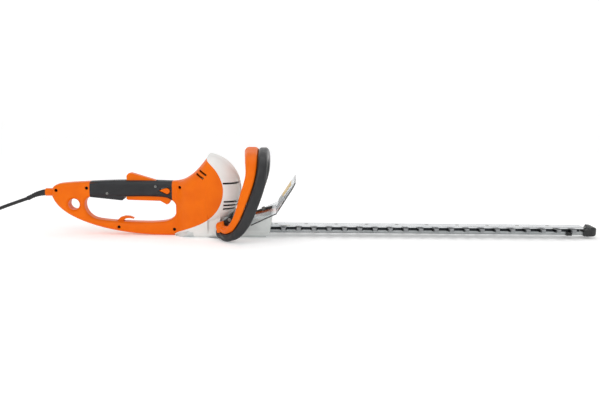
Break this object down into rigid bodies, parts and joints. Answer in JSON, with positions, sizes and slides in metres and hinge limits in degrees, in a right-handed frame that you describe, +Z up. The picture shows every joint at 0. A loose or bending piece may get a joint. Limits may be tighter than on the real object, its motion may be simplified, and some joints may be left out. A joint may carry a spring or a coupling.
{
  "type": "hedge trimmer",
  "caption": "Corded hedge trimmer with a long double-sided reciprocating blade, looped front handle with switch bail, clear hand guard and rear trigger handle.",
  "frame": {"origin": "On the underside of the base plate, below the middle of the gear case, in the tool's middle plane.", "axes": "+X points along the blades towards the tip, +Y to the tool's left, +Z up."},
  "size_m": [1.666, 0.2392, 0.2103],
  "materials": {
    "orange_plastic": "satin",
    "white_plastic": "satin",
    "black_plastic": "satin",
    "grip_rubber": "matte",
    "cast_alloy": "bead-blasted",
    "rail_alloy": "polished",
    "blade_steel": "ground",
    "machined_steel": "turned",
    "screw_steel": "zinc plated",
    "core_iron": "laminated",
    "copper": "enamelled",
    "carbon": "matte",
    "clear_plastic": "clear",
    "label_film": "printed",
    "cord_rubber": "matte",
    "pin_brass": "polished"
  },
  "bodies": {
    "housing": {"gear_case": "cast_alloy", "motor_cover": "white_plastic", "handle_shell_right": "orange_plastic", "handle_shell_left": "orange_plastic", "grip_cover_right": "grip_rubber", "grip_cover_left": "grip_rubber", "shell_screws": "screw_steel", "grip_screws": "screw_steel", "base_plate": "cast_alloy", "base_screws": "screw_steel", "top_rail": "rail_alloy", "lower_rail": "rail_alloy", "rail_screws": "screw_steel", "rail_nuts": "screw_steel", "rest_block": "black_plastic", "tip_guard": "black_plastic", "tip_screw": "screw_steel", "crank_bearings": "machined_steel", "motor_bearings": "machined_steel", "stator_core": "core_iron", "stator_windings": "copper", "motor_end_frame": "cast_alloy", "brush_holders": "copper", "carbon_brushes": "carbon", "trigger_pin": "screw_steel", "lever_pin": "screw_steel", "handle_switch": "black_plastic", "bail_switch": "black_plastic", "capacitor": "white_plastic", "cord_clamp": "black_plastic", "cable_hook": "orange_plastic", "front_handle_frame": "orange_plastic", "front_handle_grip": "grip_rubber", "bail_pins": "screw_steel", "handle_brackets": "black_plastic", "handle_screws": "screw_steel", "hand_guard": "clear_plastic", "guard_label": "label_film", "guard_bracket": "black_plastic", "guard_screws": "screw_steel", "cord_boot": "cord_rubber", "power_cord": "cord_rubber", "cord_coil": "cord_rubber", "plug": "black_plastic", "plug_pins": "pin_brass"},
    "crank": {"crank_shaft": "machined_steel", "crank_gear": "machined_steel"},
    "rotor": {"motor_shaft": "machined_steel", "armature": "core_iron", "commutator": "copper", "fan": "black_plastic"},
    "upper_rod": {"upper_rod": "machined_steel"},
    "lower_rod": {"lower_rod": "machined_steel"},
    "upper_blade": {"upper_blade": "blade_steel"},
    "lower_blade": {"lower_blade": "blade_steel"},
    "trigger": {"trigger": "orange_plastic"},
    "lockout_lever": {"lockout_lever": "orange_plastic"},
    "switch_bail": {"switch_bail": "orange_plastic"}
  },
  "joints": [
    {"name": "crank_spin", "type": "hinge", "parent": "housing", "child": "crank", "pos_m": [0.027, 0, 0.03], "axis": [0, 0, 1], "continuous": true},
    {"name": "rotor_spin", "type": "hinge", "parent": "housing", "child": "rotor", "pos_m": [-0.018, 0, 0.08], "axis": [0, 0, 1], "continuous": true},
    {"name": "upper_rod_pin", "type": "hinge", "parent": "crank", "child": "upper_rod", "pos_m": [0.027, 0.009, 0.02], "axis": [0, 0, 1], "continuous": true},
    {"name": "lower_rod_pin", "type": "hinge", "parent": "crank", "child": "lower_rod", "pos_m": [0.027, -0.009, 0.02], "axis": [0, 0, 1], "continuous": true},
    {"name": "upper_blade_slide", "type": "slide", "parent": "housing", "child": "upper_blade", "axis": [1, 0, 0], "range_m": [-0.009, 0.009]},
    {"name": "lower_blade_slide", "type": "slide", "parent": "housing", "child": "lower_blade", "axis": [1, 0, 0], "range_m": [-0.009, 0.009]},
    {"name": "trigger_pull", "type": "hinge", "parent": "housing", "child": "trigger", "pos_m": [-0.1185, 0, 0.099], "axis": [0, 1, 0], "range_deg": [0, 3.2], "stiffness_Nm_per_rad": 0.8, "springref_deg": -11.46},
    {"name": "lever_press", "type": "hinge", "parent": "housing", "child": "lockout_lever", "pos_m": [-0.168, 0, 0.121], "axis": [0, -1, 0], "range_deg": [0, 6], "stiffness_Nm_per_rad": 0.5, "springref_deg": -11.46},
    {"name": "bail_squeeze", "type": "hinge", "parent": "housing", "child": "switch_bail", "pos_m": [0.045, 0, 0.084], "axis": [0, 1, 0], "range_deg": [0, 3], "stiffness_Nm_per_rad": 0.4, "springref_deg": -8.59}
  ],
  "couplings": [
    {"joint": "rotor_spin", "follows": "crank_spin", "ratio": -4},
    {"joint": "upper_rod_pin", "follows": "crank_spin", "ratio": -1},
    {"joint": "lower_rod_pin", "follows": "crank_spin", "ratio": -1},
    {"joint": "lower_blade_slide", "follows": "upper_blade_slide", "ratio": -1}
  ]
}
